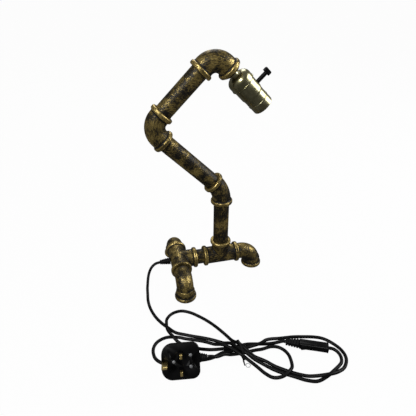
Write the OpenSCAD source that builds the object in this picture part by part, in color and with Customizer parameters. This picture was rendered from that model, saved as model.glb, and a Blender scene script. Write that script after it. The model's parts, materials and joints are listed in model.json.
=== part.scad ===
// Table lamp made of threaded pipe and fittings, with a turn-key lamp holder,
// a mains lead, an in-line switch and a three-pin plug.
// The floor is z = 0, the arm stands in the X-Z plane, and the lead lies on the -Y side.

/* [Pipe] */
// Outside diameter of the pipe
pipe_od = 26.9; // [25:0.1:29]
// Inside diameter of the pipe
pipe_id = 21.6; // [19:0.1:22.5]
// Length of thread that a fitting takes in
thread_in = 13; // [11:0.5:14]
// Radial clearance between a pipe and the fitting that it turns in
thread_gap = 0.05; // [0.02:0.01:0.1]
// Gap between a pipe's end and the shoulder inside its fitting
end_gap = 0.3; // [0.2:0.1:0.6]
// Length of the upright pipe
riser_len = 104.5; // [80:0.5:140]
// Length of the lower arm's pipe
lower_len = 131; // [100:0.5:170]
// Length of the upper arm's pipe
upper_len = 102.5; // [95:0.5:140]
// Length of the nipple between the two tees
nipple_len = 39; // [34:0.5:60]

/* [Fittings] */
// Centre to mouth of a 90 degree elbow and of a tee
reach_90 = 33; // [33:0.5:37]
// Centre to mouth of the 45 degree elbow
reach_45 = 25; // [24.5:0.5:30]
// Bend radius of a 90 degree elbow, along its centreline
bend_90 = 23; // [21:0.5:24]
// Outside diameter of a fitting's body
fitting_od = 31.6; // [30.5:0.1:33]
// Outside diameter of the bead round a fitting's mouth
bead_od = 37.5; // [35:0.1:39]
// Width of the bead
bead_w = 7; // [5:0.5:8]
// Rounding of the bead's edges
bead_round = 2.2; // [1:0.1:2.5]
// Outside diameter of a foot elbow's bend
foot_od = 29.6; // [28.5:0.1:30.5]
// Centre to end of a foot elbow's threaded leg
foot_reach = 42.5; // [41:0.5:50]

/* [Reducing bush and nipple] */
// Width across the flats of the bush's head
bush_flats = 26.5; // [24:0.5:28]
// Height of the bush's head
bush_head = 3; // [2:0.5:6]
// Diameter of the threaded brass nipple
nipple_od = 10; // [9:0.1:12]
// Bore of the threaded brass nipple
nipple_id = 7; // [6:0.1:8]
// Length of the nipple that shows between the bush and the cap
neck_len = 6; // [4:0.5:10]
// Outside diameter of the cap's neck
neck_od = 13.5; // [12.5:0.5:14.5]

/* [Lamp holder] */
// Diameter of the cap
cap_od = 37.5; // [37:0.1:39]
// Length of the cap, from its neck to its rim
cap_len = 19; // [18:0.5:21]
// Height of the cap's domed shoulder
dome_h = 10; // [8:0.5:11]
// Thickness of the sheet brass
sheet = 0.8; // [0.6:0.1:0.9]
// Diameter of the shell behind its step
shell_od = 35.4; // [35:0.1:35.5]
// Diameter of the shell's front part
front_od = 33.2; // [33:0.1:34]
// Length of the lamp holder, from the cap's neck to the mouth
holder_len = 67; // [65:0.5:72]
// Distance of the shell's step from the cap's neck
step_at = 38; // [37:0.5:41]
// Diameter of the lamp's screw thread
lamp_thread = 26.6; // [26.4:0.1:26.8]

/* [Turn key] */
// Distance of the key from the cap's neck
key_at = 33; // [31:0.5:34]
// Diameter of the key's spindle
spindle_d = 3.6; // [3:0.1:4.2]
// Diameter of the key's stem
stem_d = 6.5; // [6:0.1:7]
// Distance of the key's end from the lamp holder's axis
key_out = 41; // [38:0.5:46]
// Width of the key's paddle
paddle_w = 12.5; // [10:0.5:15]

/* [Lead] */
// Diameter of the lead
cord_d = 5; // [4.6:0.1:5]
// Length of the gland that shows behind the foot tee
gland_len = 18.5; // [15:0.5:22]
// Diameter of the gland's hole in the tee
gland_hole = 10; // [9:0.1:11]

/* [In-line switch] */
// Length of the switch's case
case_len = 42; // [40:0.5:46]
// Depth of the case, from its rocker side to its back
case_w = 13; // [12:0.5:13.5]
// Height of the case as it lies
case_h = 11; // [10.5:0.5:12]
// Length of the rocker
rocker_len = 14; // [12:0.5:15]
// Travel of the rocker
rocker_turn = 16; // [12:1:18]
// Length of the boot
boot_len = 20; // [18:0.5:22]

/* [Plug] */
// Width of the pin face
plug_w = 49; // [48:0.5:51]
// Length of the pin face
plug_len = 53; // [52:0.5:56]
// Depth of the body, from the pin face to the back
plug_depth = 21; // [20:0.5:23]
// Thickness of the part of the body that holds the pins
plate_h = 6; // [5:0.5:7]
// Distance between the live and neutral pins, and from them to the earth pin
pin_pitch = 22.2; // [22:0.1:22.4]
// Length of the live and neutral pins
pin_len = 17.7; // [17:0.1:18]
// Length of the earth pin
earth_len = 22.7; // [22:0.1:23]
// Width of the back of the cover
back_w = 28; // [26:0.5:32]

/* [Hidden] */
$fn = 48;

iron = [0.24, 0.20, 0.12];
iron_light = [0.42, 0.34, 0.18];
brass = [0.62, 0.58, 0.36];
bright = [0.80, 0.70, 0.30];
black = [0.06, 0.06, 0.06];
fibre = [0.55, 0.50, 0.42];
steel = [0.72, 0.74, 0.76];

thin = 0.3; // gap between two pieces that don't touch
cut = 1; // how far a cutting shape runs past what it cuts
tread = 2 * thread_gap; // what a threaded bore is wider than its pipe

// ---------- places ----------

axis_h = reach_90; // height of the base's pipes: a foot elbow's mouth is on the floor
seat_90 = reach_90 - thread_in; // from a 90 degree fitting's centre to a pipe's end in it
seat_45 = reach_45 - thread_in;
tee_gap = 2 * seat_90 + nipple_len; // between the two tees' centres
foot_x = seat_90 + foot_reach; // from a tee's centre to its foot's centre
riser_c = seat_90 + riser_len + seat_45; // between the centres of two fittings
lower_c = seat_45 + lower_len + seat_90;
upper_c = 2 * seat_90 + upper_len;
cap_z = reach_90 + bush_head + neck_len; // from the head elbow's centre to the cap

// The lamp without its lead is centred on x = 0.
knee_left = lower_c * sin(45) + (bend_90 + fitting_od / 2) - bend_90 * sqrt(2);
foot_right = foot_x + bead_od / 2;
frame_x = (knee_left - foot_right) / 2;

module at_riser_tee() {
  translate([frame_x, 0, axis_h]) children();
}

module at_foot_tee() {
  at_riser_tee() translate([-tee_gap, 0, 0]) children();
}

module at_low_elbow() {
  at_riser_tee() translate([0, 0, riser_c]) children();
}

module at_knee() {
  at_low_elbow() rotate([0, -45, 0]) translate([0, 0, lower_c]) children();
}

module at_head() {
  at_knee() rotate([0, 90, 0]) translate([0, 0, upper_c]) children();
}

// z runs along the lamp holder's axis, from the cap's neck towards its mouth
module at_holder() {
  at_head() rotate([0, 90, 0]) translate([0, 0, cap_z]) children();
}

// z runs out along the turn key's axis
module at_key() {
  at_holder() translate([0, 0, key_at]) rotate([0, -90, 0]) children();
}

// ---------- shapes that repeat ----------

// A round bar of diameter d along an elbow's centreline: it comes up the Z axis from
// -in_l, turns towards +X with radius r, and runs on to out_l from the centre.
module bent_bar(d, in_l, out_l, turn, r) {
  tangent = r * tan(turn / 2);
  translate([0, 0, -in_l]) cylinder(d = d, h = in_l - tangent);
  translate([r, 0, -tangent]) rotate([90, 0, 0]) rotate([0, 0, 180 - turn])
    rotate_extrude(angle = turn) translate([r, 0]) circle(d = d);
  rotate([0, turn, 0]) translate([0, 0, tangent]) cylinder(d = d, h = out_l - tangent);
}

// The bead round a mouth, which is at z = 0 with the way out along +Z
module bead() {
  translate([0, 0, -bead_w]) rotate_extrude() {
    square([bead_od / 2 - bead_round, bead_w]);
    translate([0, bead_round]) square([bead_od / 2, bead_w - 2 * bead_round]);
    for (z = [bead_round, bead_w - bead_round])
      translate([bead_od / 2 - bead_round, z]) circle(bead_round);
  }
}

// The threaded bore of a mouth, with its lead-in chamfer
module mouth_bore() {
  depth = thread_in + end_gap;
  translate([0, 0, -depth]) cylinder(d = pipe_od + tread, h = depth + cut);
}

module mouth_in(reach) {
  translate([0, 0, -reach]) rotate([180, 0, 0]) children();
}

module mouth_out(reach, turn) {
  rotate([0, turn, 0]) translate([0, 0, reach]) children();
}

module elbow(turn, reach, r) {
  difference() {
    union() {
      bent_bar(fitting_od, reach, reach, turn, r);
      mouth_in(reach) bead();
      mouth_out(reach, turn) bead();
    }
    bent_bar(pipe_id, reach, reach, turn, r);
    mouth_in(reach) mouth_bore();
    mouth_out(reach, turn) mouth_bore();
  }
}

// A bend alone, whose two ends lie a distance of tangent from the centre
module arc_bar(d, tangent, turn) {
  r = tangent / tan(turn / 2);
  translate([r, 0, -tangent]) rotate([90, 0, 0]) rotate([0, 0, 180 - turn])
    rotate_extrude(angle = turn) translate([r, 0]) circle(d = d);
}

// A short elbow: its bend ends inside the beads, and its passage inside the bores
module short_elbow(turn, reach) {
  difference() {
    union() {
      arc_bar(fitting_od, reach - bead_w + bead_round, turn);
      mouth_in(reach) bead();
      mouth_out(reach, turn) bead();
    }
    arc_bar(pipe_id, reach - thread_in + cut, turn);
    mouth_in(reach) mouth_bore();
    mouth_out(reach, turn) mouth_bore();
  }
}

// The run lies along X and the branch points up
module tee() {
  difference() {
    union() {
      rotate([0, 90, 0]) cylinder(d = fitting_od, h = 2 * reach_90, center = true);
      cylinder(d = fitting_od, h = reach_90);
      for (turn = [-90, 0, 90]) mouth_out(reach_90, turn) bead();
    }
    rotate([0, 90, 0]) cylinder(d = pipe_id, h = 2 * reach_90, center = true);
    cylinder(d = pipe_id, h = reach_90);
    for (turn = [-90, 0, 90]) mouth_out(reach_90, turn) mouth_bore();
  }
}

// The foot's mouth is on the floor, and its threaded leg points along +X
module foot_elbow() {
  collar = thread_in + 2;
  flare = 4;
  leg = foot_reach - thread_in;
  difference() {
    union() {
      bent_bar(foot_od, reach_90, leg - flare, 90, bend_90);
      translate([0, 0, -reach_90]) cylinder(d = fitting_od + 1, h = collar);
      translate([0, 0, -reach_90 + collar])
        cylinder(d1 = fitting_od + 1, d2 = foot_od, h = flare);
      mouth_in(reach_90) bead();
      rotate([0, 90, 0]) {
        translate([0, 0, leg - flare]) cylinder(d1 = foot_od, d2 = pipe_od, h = flare);
        translate([0, 0, leg]) cylinder(d = pipe_od, h = thread_in);
      }
    }
    bent_bar(pipe_id, reach_90 + cut, foot_reach + cut, 90, bend_90);
    mouth_in(reach_90) mouth_bore();
  }
}

module pipe(len) {
  difference() {
    cylinder(d = pipe_od, h = len);
    translate([0, 0, -cut]) cylinder(d = pipe_id, h = len + 2 * cut);
  }
}

module tube(d_out, d_in, h) {
  difference() {
    cylinder(d = d_out, h = h);
    translate([0, 0, -cut]) cylinder(d = d_in, h = h + 2 * cut);
  }
}

// A rectangle with round corners, centred
module round_rect(w, l, r) {
  square([w - 2 * r, l], center = true);
  square([w, l - 2 * r], center = true);
  for (x = [-1, 1], y = [-1, 1])
    translate([x * (w / 2 - r), y * (l / 2 - r)]) circle(r);
}

// ---------- base ----------

module front_foot_elbow() {
  color(iron) at_foot_tee() translate([0, -foot_x, 0]) rotate([0, 0, 90]) foot_elbow();
}

module back_foot_elbow() {
  color(iron) at_foot_tee() translate([0, foot_x, 0]) rotate([0, 0, -90]) foot_elbow();
}

module right_foot_elbow() {
  color(iron) at_riser_tee() translate([foot_x, 0, 0]) rotate([0, 0, 180]) foot_elbow();
}

module foot_tee() {
  color(iron_light) at_foot_tee() difference() {
    rotate([0, 90, 0]) rotate([0, 0, 90]) tee();
    rotate([0, -90, 0]) cylinder(d = gland_hole, h = reach_90);
  }
}

module tee_nipple() {
  color(iron_light) at_foot_tee() translate([seat_90, 0, 0]) rotate([0, 90, 0])
    pipe(nipple_len);
}

module riser_tee() {
  color(iron_light) at_riser_tee() tee();
}

gland_root = fitting_od / 2 + thin; // where the gland's flange meets the tee
gland_end = gland_root + gland_len;
cord_bore = cord_d + 2 * thin;

// A ribbed, tapered strain relief: its neck passes the tee's wall and holds a nut
module cord_gland() {
  flange_d = 13;
  root_d = 11;
  tip_d = 8.4;
  flange_h = 2;
  ribs = 5;
  neck_in = 11; // how far the neck reaches past the flange
  taper_l = gland_len - flange_h;
  color(black) at_foot_tee() rotate([0, -90, 0]) difference() {
    union() {
      translate([0, 0, gland_root]) cylinder(d = flange_d, h = flange_h);
      translate([0, 0, gland_root + flange_h])
        cylinder(d1 = root_d - 1.6, d2 = tip_d - 1.6, h = taper_l);
      for (i = [0 : ribs - 1]) {
        share = (i + 1) / ribs;
        d = root_d + (tip_d - root_d) * share;
        translate([0, 0, gland_root + flange_h + taper_l * share - 2]) cylinder(d = d, h = 2);
      }
      translate([0, 0, gland_root - neck_in])
        cylinder(d = gland_hole - tread, h = neck_in);
    }
    translate([0, 0, gland_root - neck_in - cut])
      cylinder(d = cord_bore, h = neck_in + gland_len + 2 * cut);
  }
}

// The nut bears on the tee's round inner wall with its edges
module gland_nut() {
  nut_d = 15;
  nut_h = 2;
  seat = sqrt(pow(pipe_id / 2, 2) - pow(nut_d / 2, 2)) - thin;
  color(black) at_foot_tee() rotate([0, -90, 0]) translate([0, 0, seat - nut_h])
    tube(nut_d, gland_hole + tread, nut_h);
}

// The lead runs inside the pipes as one piece of cable for each turning body
split = thin / 2; // half the gap where two bodies' cables meet
cable_bend = 19;
sides = 8; // of a swept cable or cord

module base_cable() {
  color(black) at_riser_tee() rotate([0, 90, 0]) rotate([0, 0, 180])
    bent_bar(cord_d, tee_gap + gland_end - thin, seat_90 - split, 90, cable_bend);
}

// One ring of a swept tube: round point p, square to the direction t
function ring(p, t, d, up) =
  let (side = cross(t, up), u = side / norm(side), v = cross(u, t / norm(t)))
  [for (i = [0 : sides - 1]) p + d / 2 * (cos(360 * i / sides) * u + sin(360 * i / sides) * v)];

// A tube of diameter d along a list of points, none of whose steps runs along up
module swept(p, d, up) {
  n = len(p);
  function way(i) = p[min(i + 1, n - 1)] - p[max(i - 1, 0)];
  rings = [for (i = [0 : n - 1]) ring(p[i], way(i), d, up)];
  points = [for (r = rings) for (q = r) q];
  walls = [for (i = [0 : n - 2], k = [0 : sides - 1])
    let (a = i * sides + k, b = i * sides + (k + 1) % sides)
    for (f = [[a, b, b + sides], [a, b + sides, a + sides]]) f];
  first = [for (k = [1 : sides - 2]) [0, k + 1, k]];
  last = [for (k = [1 : sides - 2]) [0, k, k + 1] + (n - 1) * sides * [1, 1, 1]];
  polyhedron(points, concat(walls, first, last));
}

// ---------- lower arm ----------

module riser_pipe() {
  color(iron) at_riser_tee() translate([0, 0, seat_90]) pipe(riser_len);
}

module low_elbow() {
  color(iron_light) at_low_elbow() rotate([0, 0, 180]) short_elbow(45, reach_45);
}

module lower_arm_pipe() {
  color(iron) at_low_elbow() rotate([0, -45, 0]) translate([0, 0, seat_45]) pipe(lower_len);
}

// The cable leans over in the low elbow, so it is swept: up the riser, round, and along
module lower_arm_cable() {
  r = 30;
  steps = 6;
  tangent = r * tan(22.5);
  lean = [-sin(45), 0, cos(45)];
  start = [0, 0, seat_90 + split - riser_c];
  arc = [for (i = [0 : steps]) let (a = 45 * i / steps)
    [-r * (1 - cos(a)), 0, r * sin(a) - tangent]];
  finish = (lower_c - seat_90 - split) * lean;
  color(black) at_low_elbow() swept(concat([start], arc, [finish]), cord_d, [0, 1, 0]);
}

// ---------- upper arm ----------

module knee_elbow() {
  color(iron_light) at_knee() elbow(90, reach_90, bend_90);
}

module upper_arm_pipe() {
  color(iron) at_knee() rotate([0, 90, 0]) translate([0, 0, seat_90]) pipe(upper_len);
}

module upper_arm_cable() {
  color(black) at_knee()
    bent_bar(cord_d, seat_90 - split, upper_c - seat_90 - split, 90, cable_bend);
}

// ---------- head: elbow, bush and lamp holder ----------

module head_elbow() {
  color(iron_light) at_head() elbow(90, reach_90, bend_90);
}

// The bush screws into the elbow's mouth and carries the nipple
module reducing_bush() {
  corners = bush_flats / cos(30);
  head_z = -neck_len - bush_head;
  color(iron) at_holder() difference() {
    union() {
      intersection() {
        translate([0, 0, head_z]) cylinder(d = corners, h = bush_head, $fn = 6);
        translate([0, 0, head_z]) cylinder(d1 = corners + 4, d2 = corners - 3, h = bush_head);
      }
      translate([0, 0, head_z - thread_in + end_gap])
        cylinder(d = pipe_od, h = thread_in - end_gap);
    }
    translate([0, 0, head_z - thread_in - cut])
      cylinder(d = nipple_od + tread, h = thread_in + bush_head + 2 * cut);
  }
}

cap_boss = 5; // length of thread in the cap's neck

module thread_nipple() {
  below = neck_len + bush_head + thread_in;
  color(brass) at_holder() translate([0, 0, -below]) tube(nipple_od, nipple_id, below + cap_boss);
}

// Outer points of a dome from radius r0 at z0 to radius r1 at z0 + h, 7.5 degrees apart
function dome(r0, r1, z0, h) =
  [for (a = [0 : 7.5 : 90]) [r0 + (r1 - r0) * sin(a), z0 + h * (1 - cos(a))]];

function backwards(list) = [for (i = [len(list) - 1 : -1 : 0]) list[i]];

boss_r = 7.5;

// Spun brass cap: a threaded neck, a domed shoulder and a skirt with a rolled rim
module socket_cap() {
  r = cap_od / 2;
  neck_top = 2 * thin - neck_len;
  neck = [[nipple_od / 2 + thread_gap, neck_top], [neck_od / 2, neck_top], [neck_od / 2, 0]];
  outer = concat([[boss_r, 0]], dome(boss_r, r, 1, dome_h), [[r, cap_len]]);
  inner = concat([[r - sheet, cap_len]],
    backwards(dome(boss_r, r - sheet, 1 + sheet, dome_h - sheet)), [[boss_r, cap_boss]]);
  color(brass) at_holder() {
    rotate_extrude() polygon(concat(neck, outer, inner, [[neck[0][0], cap_boss]]));
    translate([0, 0, cap_len - 1]) rotate_extrude() translate([r, 0]) intersection() {
      circle(0.7);
      translate([-sheet / 2, -1]) square([2, 2]);
    }
  }
}

liner_od = front_od - 2 * sheet - 0.4;
liner_wall = 0.8;
liner_id = liner_od - 2 * liner_wall;
tuck = 4; // how far the shell goes into the cap
shell_z = cap_len - tuck;

// A fibre cup under the cap's dome
module cap_insulator() {
  wall = 0.6;
  r = shell_od / 2 - thin;
  bottom = shell_z - thin;
  top = 1 + sheet + thin + 0.6;
  outer = concat(dome(boss_r + 1, r, top, dome_h - sheet), [[r, bottom]]);
  inner = concat([[r - wall, bottom]], backwards(dome(boss_r + 1, r - wall, top + wall, dome_h - sheet - wall)));
  color(fibre) at_holder() rotate_extrude() polygon(concat(outer, inner));
}

// A slot for the key, open at the back edge of the sheet that it is cut in
module key_slot(w, from_z) {
  at = key_at - from_z;
  translate([0, -w / 2, -cut]) mirror([1, 0, 0]) cube([cap_od, w, at + cut]);
  translate([0, 0, at]) rotate([0, -90, 0]) cylinder(d = w, h = cap_od);
}

// Brass shell with a step, a rolled bead and a rounded lip at the mouth
module socket_shell() {
  r1 = shell_od / 2;
  r2 = front_od / 2;
  step_l = 4;
  bead_z = holder_len - shell_z - 13;
  z1 = step_at - shell_z;
  z2 = z1 + step_l;
  end = holder_len - shell_z;
  roll = 0.6;
  lip = 0.9;
  outer = [[r1, 0], [r1, z1], [r1 - 0.3, z1 + 1], [r2 + 0.3, z2 - 1], [r2, z2], [r2, end - lip],
    [r2 - 0.3, end - 0.3], [r2 - sheet, end]];
  inner = [[r2 - sheet, z2 - sheet / 2], [r1 - sheet, z1 - sheet / 2], [r1 - sheet, 0]];
  color(brass) at_holder() translate([0, 0, shell_z]) difference() {
    union() {
      rotate_extrude() polygon(concat(outer, inner));
      translate([0, 0, bead_z]) rotate_extrude() translate([r2 - 0.2, 0]) intersection() {
        scale([roll, 1]) circle(1.4);
        translate([0, -2]) square(4);
      }
    }
    key_slot(stem_d + 0.9, shell_z);
  }
}

module shell_liner() {
  from = shell_z - 2;
  color(fibre) at_holder() translate([0, 0, from]) difference() {
    tube(liner_od, liner_id, holder_len - 4 - from);
    key_slot(spindle_d + 1.2, from);
  }
}

block_z = cap_boss + 7; // back of the switch block
block_end = step_at + 1;
block_d = liner_id - 2 * thin;
flat_y = 11; // the flats that the terminals are screwed to
terminal_z = block_z + 5;
drum_d = 7;
drum_h = 4;

// Moulded block that holds the contacts and turns the lamp on with the key's drum
module switch_block() {
  color(black) at_holder() difference() {
    translate([0, 0, block_z]) cylinder(d = block_d, h = block_end - block_z);
    for (side = [-1, 1]) {
      translate([-block_d / 2, side * (flat_y + 5) - 5, block_z - cut])
        cube([block_d, 10, 11 + cut]);
      translate([0, 0, terminal_z]) rotate([-side * 90, 0, 0]) translate([0, 0, 4.7])
        cylinder(d = 3 + tread, h = flat_y);
    }
    translate([0, 0, key_at]) rotate([0, -90, 0]) {
      translate([0, 0, -thin]) cylinder(d = drum_d + tread, h = drum_h + 2 * thin);
      cylinder(d = spindle_d + tread, h = block_d);
    }
  }
}

// Brass thread shell for the lamp, on the front of the block. Behind the thread it narrows to
// a well, in which the contact's tongue stands.
module screw_shell() {
  wall = 0.5;
  floor_h = 0.8;
  well_d = 18;
  well_h = 4.2;
  length = holder_len - 5 - block_end;
  color(bright) at_holder() translate([0, 0, block_end]) difference() {
    union() {
      cylinder(d = well_d + 2 * wall, h = well_h + floor_h);
      translate([0, 0, well_h]) cylinder(d = lamp_thread + 2 * wall, h = length - well_h);
    }
    translate([0, 0, well_h + floor_h]) cylinder(d = lamp_thread, h = length);
    translate([0, 0, floor_h]) cylinder(d = well_d, h = length);
    translate([0, 0, -cut]) cylinder(d = 12, h = 3);
  }
}

// Sprung tongue that touches the lamp's tip
module centre_contact() {
  w = 5;
  color(bright) at_holder() translate([0, 0, block_end]) rotate([90, 0, 0])
    translate([0, 0, -w / 2]) linear_extrude(w)
      polygon([[-5, 0], [5, 0], [5, 0.5], [-4.2, 0.5], [4, 3.2], [3.8, 3.7], [-5, 0.8]]);
}

module terminal_screws() {
  color(bright) at_holder() translate([0, 0, terminal_z]) for (side = [-1, 1])
    rotate([-side * 90, 0, 0]) difference() {
      union() {
        translate([0, 0, 5]) cylinder(d = 3, h = flat_y - 5 + thin);
        translate([0, 0, flat_y + thin]) cylinder(d = 6, h = 2);
      }
      translate([-4, -0.4, flat_y + thin + 1.2]) cube([8, 0.8, 2]);
    }
}

cable_end = cap_boss + 1; // where the cable's sheath ends inside the cap

module head_cable() {
  color(black) at_head()
    bent_bar(cord_d, seat_90 - split, cap_z + cable_end, 90, cable_bend);
}

// Two insulated wires from the cable's end to the terminals
module head_wires() {
  wire_d = 2;
  bend = 2.2;
  start = 1.25; // from the cable's axis
  turn_z = cable_end + bend + thin;
  out_y = flat_y + 1.3;
  color(bright) at_holder() for (side = [-1, 1]) rotate([0, 0, side * 90]) translate([start, 0, turn_z]) {
    bent_bar(wire_d, turn_z - cable_end - thin, (out_y - start) / 2, 90, bend);
    translate([out_y - start, 0, 0]) rotate([0, 90, 0]) mirror([1, 0, 0])
      bent_bar(wire_d, (out_y - start) / 2, terminal_z - 3 - thin - turn_z, 90, bend);
  }
}

// ---------- turn key ----------

stem_z = liner_od / 2 + thin;
paddle_h = 6.5;
press_in = 8; // how far the spindle goes into the stem

module key_spindle() {
  color(bright) at_key() {
    cylinder(d = drum_d, h = drum_h);
    cylinder(d = spindle_d, h = stem_z + press_in);
  }
}

// Black stem with a paddle that lies along the lamp holder
module key_knob() {
  color(black) at_key() difference() {
    union() {
      translate([0, 0, stem_z]) cylinder(d = stem_d, h = key_out - paddle_h - stem_z);
      translate([0, 0, key_out - paddle_h]) linear_extrude(paddle_h - 1)
        round_rect(paddle_w, 5.6, 2);
      translate([0, 0, key_out - 1]) linear_extrude(1) round_rect(paddle_w - 1.4, 4.4, 1.6);
    }
    translate([0, 0, stem_z - cut]) cylinder(d = spindle_d + tread, h = press_in + cut + thin);
  }
}

// ---------- lead ----------

// Points on the lead's centreline, chosen by hand: from the gland to the tie, round the
// right-hand loop and into the end of the in-line switch
lead_points = [
  [-93.46, 0, 33], [-101.8, -0.5, 31.6], [-108.7, -2.3, 27.3], [-113.6, -5.4, 21.3],
  [-116.9, -9.6, 14.8], [-119.1, -15.1, 8.8], [-120.7, -22, 4.2], [-122, -30, 2.5],
  [-123, -44, 2.5], [-124, -59, 2.5], [-123, -74, 2.5], [-120, -88, 2.5],
  [-115, -102, 2.5], [-108, -115, 2.5], [-100, -126, 2.5], [-90, -139, 3],
  [-77, -146, 2.5], [-63, -153, 2.5], [-50, -159, 2.5], [-37, -166, 2.5],
  [-23, -175, 2.5], [-13, -182, 7], [-6, -194, 10.5], [3, -206, 11],
  [13, -215, 5], [24, -225, 2.5], [34, -236, 3], [46, -245, 2.5],
  [59, -254, 3], [72, -262, 2.5], [86, -267, 2.5], [101, -264, 2.5],
  [114.5, -258.5, 2.5], [129.1, -251.4, 2.5], [134.9, -246.8, 2.5], [137.8, -239.9, 3.2],
  [137, -232.6, 4.5], [132.8, -226.4, 5.3], [126.3, -222.8, 5.5]
];

// From the switch's boot: through the tie, the upper left loop, the wide right loop,
// the lower left loop behind the plug, the short right loop and up to the plug's boot
tail_points = [
  [69.15, -197.3, 5.5], [65, -195.5, 5.5], [54, -194, 3], [42, -192.5, 2.5],
  [30, -190, 2.5], [12, -186, 2.5], [-1, -187, 3.5], [-16, -186, 2.5],
  [-32, -185, 3], [-46, -182, 2.5], [-60, -177, 2.5], [-74, -169, 2.5],
  [-87, -160, 3], [-95, -150, 8], [-101, -135, 7.5], [-101, -122, 8],
  [-98, -109, 4], [-88, -99, 2.5], [-73, -97, 2.5], [-59, -104, 2.5],
  [-48, -114, 2.5], [-38, -125, 2.5], [-29, -137, 2.5], [-21, -150, 2.5],
  [-14, -163, 2.5], [-8, -176, 4], [-1, -188, 10], [7, -201, 9],
  [15, -209, 3], [28, -220, 2.5], [38, -231, 2.5], [49, -240, 2.5],
  [62, -249, 2.5], [75, -256, 2.5], [87, -261, 5.5], [102, -265, 9.5],
  [117, -264, 8], [132, -258, 5.5], [144, -244, 2.5], [145, -229, 2.5],
  [138, -214, 2.5], [128, -203, 2.5], [115, -197, 2.5], [100, -193, 2.5],
  [87, -190, 2.5], [75, -188.5, 2.5], [62, -187.5, 3], [50, -188, 6],
  [40, -190, 8.5], [31, -193, 8], [21, -193, 6], [10, -192.5, 3.5],
  [2, -194, 3.5], [-13, -192, 2.5], [-28, -192, 2.5], [-44, -197, 3],
  [-58, -197, 2.5], [-73, -195, 2.5], [-88, -192, 2.5], [-102, -191, 2.5],
  [-116, -189, 2.5], [-126, -178, 2.5], [-127, -162, 2.5], [-119, -150, 2.5],
  [-104, -145, 2.5], [-87, -149, 2.5], [-77, -154, 2.5], [-63, -160, 2.5],
  [-50, -166, 2.5], [-37, -174, 2.5], [-25, -182, 7.5], [-16, -191, 8.5],
  [-4, -205, 8], [5, -214, 3.5], [12, -224, 2.5], [20, -238, 2.5],
  [29, -249, 4.5], [42, -252, 8], [56, -245, 8.5], [63, -234, 3.5],
  [65, -217, 2.5], [58, -204, 2.5], [46, -199, 3], [31, -200, 3],
  [19, -199, 2.5], [1, -200, 3.5], [-16, -198, 2.5], [-27, -198, 6.5],
  [-40, -204.5, 13.5], [-49.6, -204.9, 17.2], [-54.2, -204.3, 17.2]
];

function on_floor(q) = [q[0], q[1], max(q[2], cord_d / 2)];

// A smooth curve through the points, with so many steps from each to the next
function curve(p, steps) =
  let (n = len(p))
  concat(
    [for (i = [0 : n - 2], k = [0 : steps - 1])
      let (t = k / steps, b = p[i], c = p[i + 1])
      let (a = i > 0 ? p[i - 1] : 2 * b - c, d = i < n - 2 ? p[i + 2] : 2 * c - b)
      on_floor((2 * b + (c - a) * t + (2 * a - 5 * b + 4 * c - d) * t * t
        + (3 * b - a - 3 * c + d) * t * t * t) / 2)],
    [p[n - 1]]);

// Distance from a point to the stretch between two others
function apart(q, a, b) =
  let (s = b - a, t = max(0, min(1, (q - a) * s / (s * s))))
  norm(q - a - t * s);

// Least gap between the turns of one cord, leaving out the stretch next to each point
function own_gap(c, near) =
  min([for (i = [0 : len(c) - near - 2], j = [i + near : len(c) - 2])
    apart(c[i], c[j], c[j + 1])]) - cord_d;

function gap_between(c, e) =
  min([for (q = c, j = [0 : len(e) - 2]) apart(q, e[j], e[j + 1])]) - cord_d;

cord_steps = 2;
measure_steps = 4; // finer, so that what is measured lies close to the curve
measure_near = 8;

module lead_cord() {
  color(black) swept(curve(lead_points, cord_steps), cord_d, [0, 0, 1]);
}

module tail_cord() {
  fine_lead = curve(lead_points, measure_steps);
  fine_tail = curve(tail_points, measure_steps);
  echo(gap_of_tail_to_itself = own_gap(fine_tail, measure_near));
  echo(gap_of_lead_to_itself = own_gap(fine_lead, measure_near));
  echo(gap_of_lead_to_tail = gap_between(fine_lead, fine_tail));
  color(black) swept(curve(tail_points, cord_steps), cord_d, [0, 0, 1]);
}

tie_at = [-3, 0, 0]; // where the tie's band starts along x
tie_w = 3;
tie_t = 0.35;

// The strands at the tie: y and z of those that its band bears on
module tied_strands(grow) {
  hull() for (q = [[-182.4, 7.4], [-187.5, 3.2], [-201, 3.2], [-210.2, 5.6], [-204.5, 11.4],
      [-190.5, 10.8]])
    translate(q) circle(cord_d / 2 + grow, $fn = 32);
}

// A flat band round the six strands, with its ends twisted together in front
module cord_tie() {
  color(black) {
    translate(tie_at) rotate([90, 0, 90]) linear_extrude(tie_w) difference() {
      tied_strands(thin + tie_t);
      tied_strands(thin);
    }
    translate([-2.5, -211.8, 2.9]) rotate([105, 0, 0]) cylinder(d1 = 2.4, d2 = 1.8, h = 7.5);
  }
}

// The pale end of the tie's wire, bent into a loop that lies on the floor
module tie_wire() {
  wire_d = 0.8;
  loop_r = 3.2;
  color(steel) translate([2.2, -219.5, wire_d / 2])
    rotate_extrude() translate([loop_r, 0]) circle(d = wire_d, $fn = 16);
}

// ---------- in-line switch ----------

switch_yaw = -24;
switch_at = [69.6, -197.5]; // the boot's outer end
wall = 1.2;
case_r = 3;
collar_l = 1.5; // a raised collar at the lead's end
collar_w = 14.2;
pivot_x = boot_len + 9.5;
pivot_y = 2.5 - case_w / 2;
rocker_w = 6.5;
rocker_tip = [rocker_len / 2 * cos(rocker_turn / 2), -2.9 - rocker_len / 2 * sin(rocker_turn / 2)];
rocker_r = norm(rocker_tip);
pivot_pin = 2;
screw_xs = [boot_len + 21, boot_len + 36.5];

// x runs from the boot's end towards the lead's end, and the rocker is on the -y side
module at_switch() {
  translate([switch_at[0], switch_at[1], case_h / 2]) rotate([0, 0, switch_yaw]) children();
}

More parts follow.
